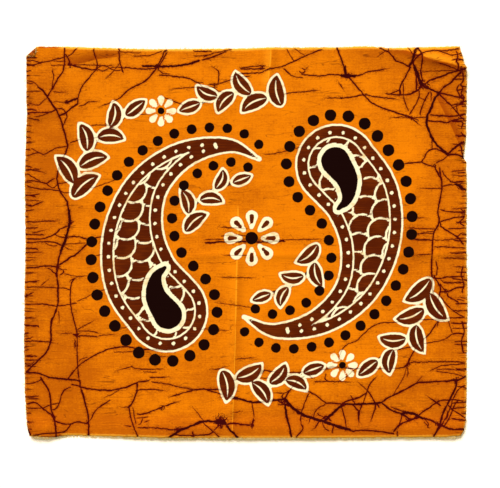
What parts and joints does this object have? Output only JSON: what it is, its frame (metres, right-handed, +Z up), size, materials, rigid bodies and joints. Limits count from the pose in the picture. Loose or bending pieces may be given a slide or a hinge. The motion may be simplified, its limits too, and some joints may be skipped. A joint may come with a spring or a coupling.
{
  "type": "batik cloth",
  "caption": "Square-cut batik cloth of plain cotton, laid out flat, with fold creases, a lifted bottom edge and one turned-over corner.",
  "frame": {"origin": "on the surface that the cloth lies on, below the middle of its outline", "axes": "+X across the cloth to the right of its picture side, +Y up the picture, +Z up, away from the surface"},
  "size_m": [0.4496, 0.3975, 0.0062],
  "materials": {
    "dyed_cotton": "plain-woven cotton, wax-resist dyed orange, brown and dark brown, matte"
  },
  "bodies": {
    "root": {"cloth": "dyed_cotton"}
  },
  "joints": []
}
